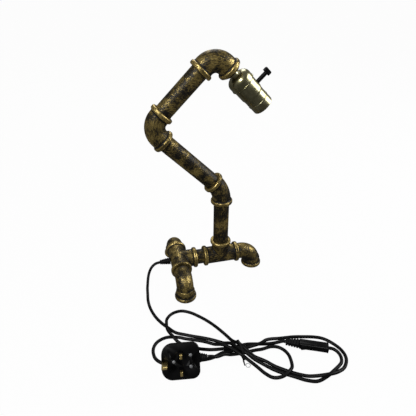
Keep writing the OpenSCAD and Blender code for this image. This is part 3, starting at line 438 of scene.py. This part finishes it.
ACROSS, ALONG = 820, 210  # the noise's scales across the brush and along it
SLANT_TURN = math.radians(45)
iron_x = brushed_iron("iron_brushed_x", (ALONG, ACROSS, ACROSS))
iron_y = brushed_iron("iron_brushed_y", (ACROSS, ALONG, ACROSS))
iron_z = brushed_iron("iron_brushed_z", (ACROSS, ACROSS, ALONG))
iron_down = brushed_iron("iron_brushed_down", (ALONG, ACROSS, ACROSS), turn=(0, SLANT_TURN, 0))
iron_up = brushed_iron("iron_brushed_up", (ALONG, ACROSS, ACROSS), turn=(0, -SLANT_TURN, 0))
print("irons:", [m.name for m in bpy.data.materials if m.name.startswith("iron")])

# %% [markdown]
# A casting has no sharp inner corners: where a tee's branch leaves its run, and where a rim
# meets the bend, sand-cast iron flows together in a small fillet. The solids have those corners
# sharp. So each fitting is copied, its copy is turned into an even skin of small quads by a
# voxel remesh, and a few rounds of smoothing melt the corners, as the sand mould does.

# %% Cast the fittings
FITTINGS = ("foot_tee", "riser_tee", "front_foot_elbow", "back_foot_elbow", "right_foot_elbow",
            "low_elbow", "knee_elbow", "head_elbow")
SKIN = 0.8 * MM
SAME_POINT = 0.002 * MM


def merged_copy(node, name):
    piece = nodes[node].copy()
    piece.data = nodes[node].data.copy()
    piece.name = piece.data.name = name
    piece.parent = None
    for key in list(piece.keys()):
        del piece[key]
    bpy.context.scene.collection.objects.link(piece)
    solid = bmesh.new()
    solid.from_mesh(piece.data)
    bmesh.ops.remove_doubles(solid, verts=solid.verts, dist=SAME_POINT)
    solid.to_mesh(piece.data)
    solid.free()
    return piece


def settle(piece):
    """Applies a piece's modifiers and leaves a plain mesh."""
    made = bpy.data.meshes.new_from_object(
        piece.evaluated_get(bpy.context.evaluated_depsgraph_get()))
    piece.modifiers.clear()
    piece.data = made
    return piece


def vertex_array(mesh):
    co = np.empty(len(mesh.vertices) * 3, np.float32)
    mesh.vertices.foreach_get("co", co)
    return co.reshape(-1, 3).astype(float)


def edge_array(mesh):
    ends = np.empty(len(mesh.edges) * 2, np.int32)
    mesh.edges.foreach_get("vertices", ends)
    return ends.reshape(-1, 2)


def neighbour_mean(values, ends, count):
    total = np.zeros_like(values)
    np.add.at(total, ends[:, 0], values[ends[:, 1]])
    np.add.at(total, ends[:, 1], values[ends[:, 0]])
    return total / count


PULLS = (0.5, -0.52, 0.35)  # in, out again so that nothing shrinks, and a last touch


def soften(piece, rounds):
    co, ends = vertex_array(piece.data), edge_array(piece.data)
    count = np.bincount(ends.ravel(), minlength=len(co))[:, None]
    for pull in PULLS * rounds:
        co += pull * (neighbour_mean(co, ends, count) - co)
    piece.data.vertices.foreach_set("co", co.astype(np.float32).ravel())
    piece.data.update()


def cast(node):
    piece = merged_copy(node, node + "_casting")
    skin = piece.modifiers.new("skin", "REMESH")
    skin.mode = "VOXEL"
    skin.voxel_size = SKIN
    settle(piece)
    soften(piece, 3)
    shade_smooth(piece.data)
    return piece


castings = {n: cast(n) for n in FITTINGS}
print({n: len(o.data.polygons) for n, o in castings.items()})

# %% [markdown]
# A nearly dry brush leaves its gold on ridges and skips the creases. How much each point stands
# out is read from the skin itself: a vertex that lies outside the middle of its neighbours is on
# a ridge, and one that lies inside it is in a crease. The number, spread a little, becomes the
# vertex attribute that the iron's finish reads.

# %% Find ridges and creases
SPREAD = 4  # rounds of averaging, so that a ridge counts over a few quads
FULL_RIDGE = 0.22  # mm outside the mean of its neighbours


def mark_proud(piece):
    co, ends = vertex_array(piece.data), edge_array(piece.data)
    count = np.bincount(ends.ravel(), minlength=len(co))[:, None]
    normals = np.empty(len(co) * 3, np.float32)
    piece.data.vertices.foreach_get("normal", normals)
    normals = normals.reshape(-1, 3)
    mean = co
    for _ in range(SPREAD):
        mean = neighbour_mean(mean, ends, count)
    out = ((co - mean) * normals).sum(1)[:, None] / MM
    out = neighbour_mean(out, ends, count)[:, 0]
    proud = np.clip(out / FULL_RIDGE, -1, 1)
    layer = piece.data.attributes.new("proud", "FLOAT", "POINT")
    layer.data.foreach_set("value", proud.astype(np.float32))
    return float(proud.min()), float(proud.max())


for name, piece in castings.items():
    print(name, "crease %.2f, ridge %.2f" % mark_proud(piece))

# %% Paint the iron
BODY_OF = {n: body for body, names in frame["record"]["behaviour"]["bodies"].items() for n in names}


def dress(names, material):
    for name in names:
        mesh = nodes[name].data
        mesh.materials.clear()
        mesh.materials.append(material)


IRON_OF = {"foot_tee": iron_y, "front_foot_elbow": iron_z, "back_foot_elbow": iron_z,
           "riser_tee": iron_x, "right_foot_elbow": iron_z, "low_elbow": iron_z,
           "knee_elbow": iron_z, "head_elbow": iron_x}
for name, piece in castings.items():
    piece.data.materials.clear()
    piece.data.materials.append(IRON_OF[name])
    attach(piece, BODY_OF[name])
    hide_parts(name)
dress(["tee_nipple"], iron_x)
dress(["reducing_bush"], iron_x)
dress(["riser_pipe"], iron_z)
dress(["lower_arm_pipe"], iron_down)
dress(["upper_arm_pipe"], iron_up)
print("painted:", len(castings), "castings and 5 solids")

# %% [markdown]
# ## Brass
# The lamp holder is spun from thin brass, then darkened and polished back: an olive tint with
# bright highlights, fine turning lines round its axis, and a darker tone where fingers and
# lacquer have aged it. The lines come from noise squeezed along the holder's axis.

# %% Brass finishes
BRASS_ROUGH = 0.2
TURNING = (60, 60, 6000)  # the noise's scales: squeezed along the turning axis


def brass_finish(name, dark, light, turn=(0, 0, 0), lines=0.01 * MM):
    material = blank_material(name)
    tree = material.node_tree
    cloud = noise(tree, mapped(tree), 60, detail=3)
    tone = blend_colours(tree, ramp(tree, cloud, 0.35, 0.65), dark, light)
    surface = shader(tree, Metallic=1.0)
    tree.links.new(tone, surface.inputs["Base Color"])
    smear = math_of(tree, "MULTIPLY", noise(tree, mapped(tree), 240, detail=4), 0.14)
    tree.links.new(math_of(tree, "ADD", smear, BRASS_ROUGH), surface.inputs["Roughness"])
    turned = noise(tree, mapped(tree, turn, TURNING), 1.0, detail=2)
    tree.links.new(bump(tree, turned, lines, 0.6), surface.inputs["Normal"])
    return material


HOLDER_TURN = (0, math.radians(45), 0)
antique_brass = brass_finish("antique_brass", (0.30, 0.28, 0.155), (0.46, 0.43, 0.26),
                             HOLDER_TURN, 0.006 * MM)
plain_brass = brass_finish("plain_brass", (0.62, 0.46, 0.17), (0.74, 0.58, 0.24))
dress(["thread_nipple", "socket_cap", "socket_shell"], antique_brass)
dress(["screw_shell", "centre_contact", "terminal_screws", "key_spindle", "switch_contacts",
       "live_pin", "neutral_pin", "earth_pin", "fuse_clips"], plain_brass)
print("brass:", antique_brass.name, plain_brass.name)

# %% [markdown]
# ## Black mouldings and black cord
# The plug, the in-line switch and the key are moulded in hard black plastic with a faint orange
# peel, and the lead is softer: less glossy, with a fine grain and a dusting that dulls it. Both
# are nearly black, so what shows is how the light slides along them.

# %% Black finishes
def wound_on_cord(tree):
    place = add(tree, "ShaderNodeUVMap", uv_map="along_cord")
    mapping = add(tree, "ShaderNodeMapping")
    mapping.inputs["Scale"].default_value = (1, 250, 1)
    tree.links.new(place.outputs[0], mapping.inputs["Vector"])
    return mapping.outputs[0]


def black_finish(name, colour, dust, rough, grain, depth, laid=mapped):
    material = blank_material(name)
    tree = material.node_tree
    relief = noise(tree, laid(tree), grain, detail=3)
    cloud = noise(tree, mapped(tree), 90, detail=3)
    tone = blend_colours(tree, ramp(tree, cloud, 0.4, 0.75), colour, dust)
    surface = shader(tree)
    surface.inputs["Specular IOR Level"].default_value = 0.14
    tree.links.new(tone, surface.inputs["Base Color"])
    smear = math_of(tree, "MULTIPLY", cloud, 0.18)
    tree.links.new(math_of(tree, "ADD", smear, rough), surface.inputs["Roughness"])
    tree.links.new(bump(tree, relief, depth, 0.7), surface.inputs["Normal"])
    return material


moulding = black_finish("black_moulding", (0.0014, 0.0014, 0.0016), (0.003, 0.003, 0.0034), 0.28,
                        1500, 0.03 * MM)
rubber = black_finish("soft_black", (0.002, 0.002, 0.0022), (0.0045, 0.0045, 0.005), 0.42,
                      2200, 0.03 * MM)
cord_black = black_finish("cord_black", (0.0014, 0.0014, 0.0016), (0.0035, 0.0035, 0.0038), 0.36,
                          8, 0.002 * MM, laid=wound_on_cord)
dress(["cord_gland", "gland_nut", "switch_block", "key_knob", "switch_front", "switch_back",
       "switch_rocker", "plug_base", "plug_cover", "pin_sleeves"], moulding)
dress(["base_cable", "lower_arm_cable", "upper_arm_cable", "head_cable", "cord_tie",
       "switch_boot", "plug_boot"], rubber)
lead.data.materials.append(cord_black)
tail.data.materials.append(cord_black)
print("blacks:", moulding.name, rubber.name, cord_black.name)

# %% Steel, fibre and wire
def plain_finish(name, dark, light, metallic, rough, grain, depth):
    material = blank_material(name)
    tree = material.node_tree
    cloud = noise(tree, mapped(tree), grain, detail=4)
    tone = blend_colours(tree, cloud, dark, light)
    surface = shader(tree, Metallic=metallic)
    tree.links.new(tone, surface.inputs["Base Color"])
    tree.links.new(math_of(tree, "ADD", math_of(tree, "MULTIPLY", cloud, 0.15), rough),
                   surface.inputs["Roughness"])
    tree.links.new(bump(tree, cloud, depth, 0.6), surface.inputs["Normal"])
    return material


zinc = plain_finish("zinc_plate", (0.52, 0.54, 0.56), (0.72, 0.73, 0.74), 1.0, 0.24,
                    700, 0.01 * MM)
pressed_fibre = plain_finish("pressed_fibre", (0.30, 0.24, 0.16), (0.47, 0.39, 0.28), 0.0, 0.7,
                             900, 0.05 * MM)
red_wire = plain_finish("wire_jacket", (0.16, 0.05, 0.02), (0.24, 0.08, 0.03), 0.0, 0.4,
                        500, 0.02 * MM)
dress(["tie_wire", "switch_screws", "plug_screws", "plug_fuse"], zinc)
dress(["cap_insulator", "shell_liner", "cord_grip"], pressed_fibre)
dress(["head_wires"], red_wire)
bare = [n for n, o in nodes.items() if not o.data.materials or not o.data.materials[0].use_nodes]
print("nodes with no finish:", bare)

# %% [markdown]
# ## Places on the lamp
# Small pieces are made standing upright at the origin, where their sizes are easy to write, and
# then their mesh is moved to its place. Three places matter: the middle of the head elbow, from
# which the lamp holder points down, the tee with the gland in its side, and the plug, which lies
# on one sloping side.

# %% The places
def place(at, turn_z=0.0, tilt_y=0.0):
    return (Matrix.Translation(Vector(at) * MM) @ Matrix.Rotation(math.radians(turn_z), 4, "Z")
            @ Matrix.Rotation(math.radians(tilt_y), 4, "Y"))


TEE_X, RISER_X, PIPE_Z = -58.859, 20.141, 33
HEAD_BEND = (35.345, 0, 355.821)
PLUG_W, PLUG_BACK, PLUG_DEPTH, PLATE = 49, 28, 21, 6
PLUG_MIDDLE = (-92.5, -208)
lean = math.atan((PLUG_W - PLUG_BACK) / 2 / (PLUG_DEPTH - PLATE))
plug_tilt = math.pi / 2 - lean
plug_height = PLUG_W / 2 * math.sin(plug_tilt) + PLATE * math.cos(plug_tilt)
AT_HOLDER = place(HEAD_BEND, 0, 135)
AT_GLAND = place((TEE_X, 0, PIPE_Z), 0, -90)
AT_PLUG = place((*PLUG_MIDDLE, plug_height), 82, -math.degrees(plug_tilt))
AT_BOOT = (AT_PLUG @ Matrix.Translation((0, -26 * MM, -11 * MM))
           @ Matrix.Rotation(math.pi / 2, 4, "X"))
print("plug leans %.1f degrees, its middle %.1f mm up" % (math.degrees(plug_tilt), plug_height))

# %% [markdown]
# ## Ribbed sleeves
# The gland and the plug's boot keep the lead from kinking where it enters something hard. Each is
# a soft tapered tube with ribs and gaps between them, so that it bends easily. The shape follows
# a rule, so one geometry node tree makes both: a cone for the core and a row of rings whose size
# falls off from root to tip, with the count, length and widths as its inputs.

# %% A small kit for geometry nodes
def new_tree(name, inputs):
    tree = bpy.data.node_groups.new(name, "GeometryNodeTree")
    tree.interface.new_socket("Geometry", in_out="OUTPUT", socket_type="NodeSocketGeometry")
    for label, kind, value in inputs:
        socket = tree.interface.new_socket(label, in_out="INPUT", socket_type=kind)
        if value is not None:
            socket.default_value = value
    return tree, tree.nodes.new("NodeGroupInput"), tree.nodes.new("NodeGroupOutput")


def grow(name, tree, matrix, **values):
    """Runs a tree with the given inputs and returns its mesh as a piece, moved to its place."""
    piece = new_piece(name, [], [])
    modifier = piece.modifiers.new("tree", "NODES")
    modifier.node_group = tree
    for item in tree.interface.items_tree:
        if item.in_out == "INPUT" and item.name in values:
            modifier[item.identifier] = values[item.name]
    settle(piece)
    piece.data.name = name
    piece.data.transform(matrix)
    return piece


def link_all(tree, *pairs):
    for out, into in pairs:
        tree.links.new(out, into)


# %% The ribbed sleeve's tree
def ribbed_sleeve_tree():
    tree, given, made = new_tree("ribbed_sleeve", [
        ("Ribs", "NodeSocketInt", 5), ("Length", "NodeSocketFloat", 0.02),
        ("Root radius", "NodeSocketFloat", 0.005), ("Tip radius", "NodeSocketFloat", 0.004),
        ("Rib width", "NodeSocketFloat", 0.002), ("Groove", "NodeSocketFloat", 0.0008),
        ("Finish", "NodeSocketMaterial", None)])
    groove, rib_width = given.outputs["Groove"], given.outputs["Rib width"]
    half_rib = math_of(tree, "MULTIPLY", rib_width, 0.5)
    top_rib = math_of(tree, "SUBTRACT", given.outputs["Length"], half_rib)
    core = add(tree, "GeometryNodeMeshCone", Vertices=32)
    core.inputs["Side Segments"].default_value = 12
    first = add(tree, "ShaderNodeCombineXYZ")
    last = add(tree, "ShaderNodeCombineXYZ")
    steps = add(tree, "GeometryNodeMeshLine", mode="END_POINTS")
    gaps = math_of(tree, "SUBTRACT", given.outputs["Ribs"], 1.0)
    index = add(tree, "GeometryNodeInputIndex")
    size = add(tree, "ShaderNodeMapRange")
    scale = add(tree, "ShaderNodeCombineXYZ")
    disc = add(tree, "GeometryNodeMeshCylinder", Vertices=32, Radius=1.0, Depth=1.0)
    disc.inputs["Side Segments"].default_value = 2
    ribs = add(tree, "GeometryNodeInstanceOnPoints")
    both = add(tree, "GeometryNodeJoinGeometry")
    real = add(tree, "GeometryNodeRealizeInstances")
    paint = add(tree, "GeometryNodeSetMaterial")
    link_all(
        tree,
        (math_of(tree, "SUBTRACT", given.outputs["Root radius"], groove),
         core.inputs["Radius Bottom"]),
        (math_of(tree, "SUBTRACT", given.outputs["Tip radius"], groove),
         core.inputs["Radius Top"]),
        (given.outputs["Length"], core.inputs["Depth"]),
        (given.outputs["Ribs"], steps.inputs["Count"]),
        (half_rib, first.inputs["Z"]), (first.outputs[0], steps.inputs["Start Location"]),
        (top_rib, last.inputs["Z"]), (last.outputs[0], steps.inputs["Offset"]),
        (math_of(tree, "DIVIDE", index.outputs[0], gaps), size.inputs["Value"]),
        (given.outputs["Root radius"], size.inputs["To Min"]),
        (given.outputs["Tip radius"], size.inputs["To Max"]),
        (size.outputs["Result"], scale.inputs["X"]), (size.outputs["Result"], scale.inputs["Y"]),
        (rib_width, scale.inputs["Z"]),
        (steps.outputs["Mesh"], ribs.inputs["Points"]),
        (disc.outputs["Mesh"], ribs.inputs["Instance"]),
        (scale.outputs[0], ribs.inputs["Scale"]),
        (core.outputs["Mesh"], both.inputs[0]), (ribs.outputs[0], both.inputs[0]),
        (both.outputs[0], real.inputs[0]), (real.outputs[0], paint.inputs["Geometry"]),
        (given.outputs["Finish"], paint.inputs["Material"]),
        (paint.outputs[0], made.inputs[0]))
    return tree


sleeve_tree = ribbed_sleeve_tree()
print("tree:", sleeve_tree.name, len(sleeve_tree.nodes), "nodes")

# %% [markdown]
# The tree's cone and rings meet in sharp edges. Real rubber is rounded, so each sleeve gets a
# narrow bevel and is settled once more.

# %% Make the two sleeves
def rounded(piece, width, sharpest=35):
    bevel = piece.modifiers.new("round_edges", "BEVEL")
    bevel.width = width
    bevel.segments = 2
    bevel.limit_method = "ANGLE"
    bevel.angle_limit = math.radians(sharpest)
    settle(piece)
    shade_smooth(piece.data)
    return piece


GROOVE, RIB_EDGE = 0.75, 0.25


def sleeve(name, at, from_z, length, ribs, root, tip, rib, replaced):
    """All its sizes are in millimetres; root and tip are the ribs' diameters at the two ends."""
    piece = grow(name, sleeve_tree, at @ Matrix.Translation((0, 0, from_z * MM)), **{
        "Ribs": ribs, "Length": length * MM, "Root radius": root / 2 * MM,
        "Tip radius": tip / 2 * MM, "Rib width": rib * MM, "Groove": GROOVE * MM,
        "Finish": rubber})
    rounded(piece, RIB_EDGE * MM)
    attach(piece, "base")
    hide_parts(replaced)
    return piece


plug_sleeve = sleeve("plug_sleeve", AT_BOOT, from_z=0.3, length=10.7, ribs=4, root=13.2, tip=8.0,
                     rib=1.7, replaced="plug_boot")
gland_sleeve = sleeve("gland_sleeve", AT_GLAND, from_z=16.1, length=18.5, ribs=6, root=13,
                      tip=8.4, rib=1.9, replaced="cord_gland")
print("sleeves:", len(plug_sleeve.data.polygons), len(gland_sleeve.data.polygons), "faces")

# %% [markdown]
# ## Mouldings with soft edges
# A mould can't make a knife edge, and neither can a press: the plug with its pins and screws, the
# switch and its boot, the key and the bush have small round edges that catch a line of light.
# Each is a copy of its solid with its corners merged and a bevel as wide as the real rounding.

# %% Round the edges
PLASTIC, BOOT = (moulding, "black_plastic"), (rubber, "black_rubber")
PIN, SCREW, BUSH = (plain_brass, "bright_brass"), (zinc, "steel"), (iron_x, "iron")
SOFT_EDGES = {  # node: width of its rounding in mm, finish, slot
    "plug_base": (0.7, *PLASTIC), "plug_cover": (0.9, *PLASTIC),
    "switch_front": (0.35, *PLASTIC), "switch_back": (0.35, *PLASTIC),
    "switch_rocker": (0.3, *PLASTIC), "switch_boot": (0.4, *BOOT),
    "key_knob": (0.5, *PLASTIC), "reducing_bush": (0.5, *BUSH),
    "live_pin": (0.25, *PIN), "neutral_pin": (0.25, *PIN),
    "earth_pin": (0.3, *PIN), "plug_screws": (0.2, *SCREW)}


def soft_copy(node, width, finish, slot):
    piece = rounded(merged_copy(node, node + "_soft"), width * MM, sharpest=28)
    piece.data.materials.clear()
    piece.data.materials.append(finish)
    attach(piece, BODY_OF[node])
    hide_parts(node)
    return piece


soft_edged = {node: soft_copy(node, *how) for node, how in SOFT_EDGES.items()}
print({n: len(o.data.polygons) for n, o in soft_edged.items()})

# %% [markdown]
# ## Threads
# A thread is a ridge that climbs a cylinder as a spiral. Curve nodes make it directly: a spiral
# for the path and a small six-sided ring for the ridge. The same tree cuts the round thread that
# the lamp screws into and the threads in the open feet.

# %% The thread's tree
def thread_tree():
    tree, given, made = new_tree("climbing_thread", [
        ("Turns", "NodeSocketFloat", 5.0), ("Radius", "NodeSocketFloat", 0.005),
        ("Height", "NodeSocketFloat", 0.01), ("Ridge", "NodeSocketFloat", 0.0005),
        ("Finish", "NodeSocketMaterial", None)])
    spiral = add(tree, "GeometryNodeCurveSpiral", Resolution=40)
    ring = add(tree, "GeometryNodeCurvePrimitiveCircle", Resolution=6)
    sweep = add(tree, "GeometryNodeCurveToMesh")
    sweep.inputs["Fill Caps"].default_value = True
    real = add(tree, "GeometryNodeRealizeInstances")
    paint = add(tree, "GeometryNodeSetMaterial")
    link_all(
        tree,
        (given.outputs["Turns"], spiral.inputs["Rotations"]),
        (given.outputs["Radius"], spiral.inputs["Start Radius"]),
        (given.outputs["Radius"], spiral.inputs["End Radius"]),
        (given.outputs["Height"], spiral.inputs["Height"]),
        (given.outputs["Ridge"], ring.inputs["Radius"]),
        (spiral.outputs["Curve"], sweep.inputs["Curve"]),
        (ring.outputs["Curve"], sweep.inputs["Profile Curve"]),
        (sweep.outputs["Mesh"], real.inputs[0]), (real.outputs[0], paint.inputs["Geometry"]),
        (given.outputs["Finish"], paint.inputs["Material"]),
        (paint.outputs[0], made.inputs[0]))
    return tree


ridge_tree = thread_tree()


def thread(name, at, from_z, height, radius, pitch, ridge, finish, body):
    """All its sizes are in millimetres."""
    piece = grow(name, ridge_tree, at @ Matrix.Translation((0, 0, from_z * MM)), **{
        "Turns": height / pitch, "Radius": radius * MM, "Height": height * MM,
        "Ridge": ridge * MM, "Finish": finish})
    shade_smooth(piece.data)
    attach(piece, body)
    return piece


# %% Cut the threads
FOOT_OUT = 62.5  # from the middle of a tee to the middle of a foot
FEET = {"front": (TEE_X, -FOOT_OUT, 0), "back": (TEE_X, FOOT_OUT, 0),
        "right": (RISER_X + FOOT_OUT, 0, 0)}
lamp_thread = thread("lamp_thread", AT_HOLDER, from_z=44.7, height=16.3, radius=13.35, pitch=3.62,
                     ridge=0.62, finish=plain_brass, body="head")
foot_threads = [thread("foot_thread_" + foot, place(at), from_z=1, height=11, radius=13.45,
                       pitch=1.81, ridge=0.55, finish=iron_z, body="base")
                for foot, at in FEET.items()]
print("threads:", [len(o.data.polygons) for o in (lamp_thread, *foot_threads)])
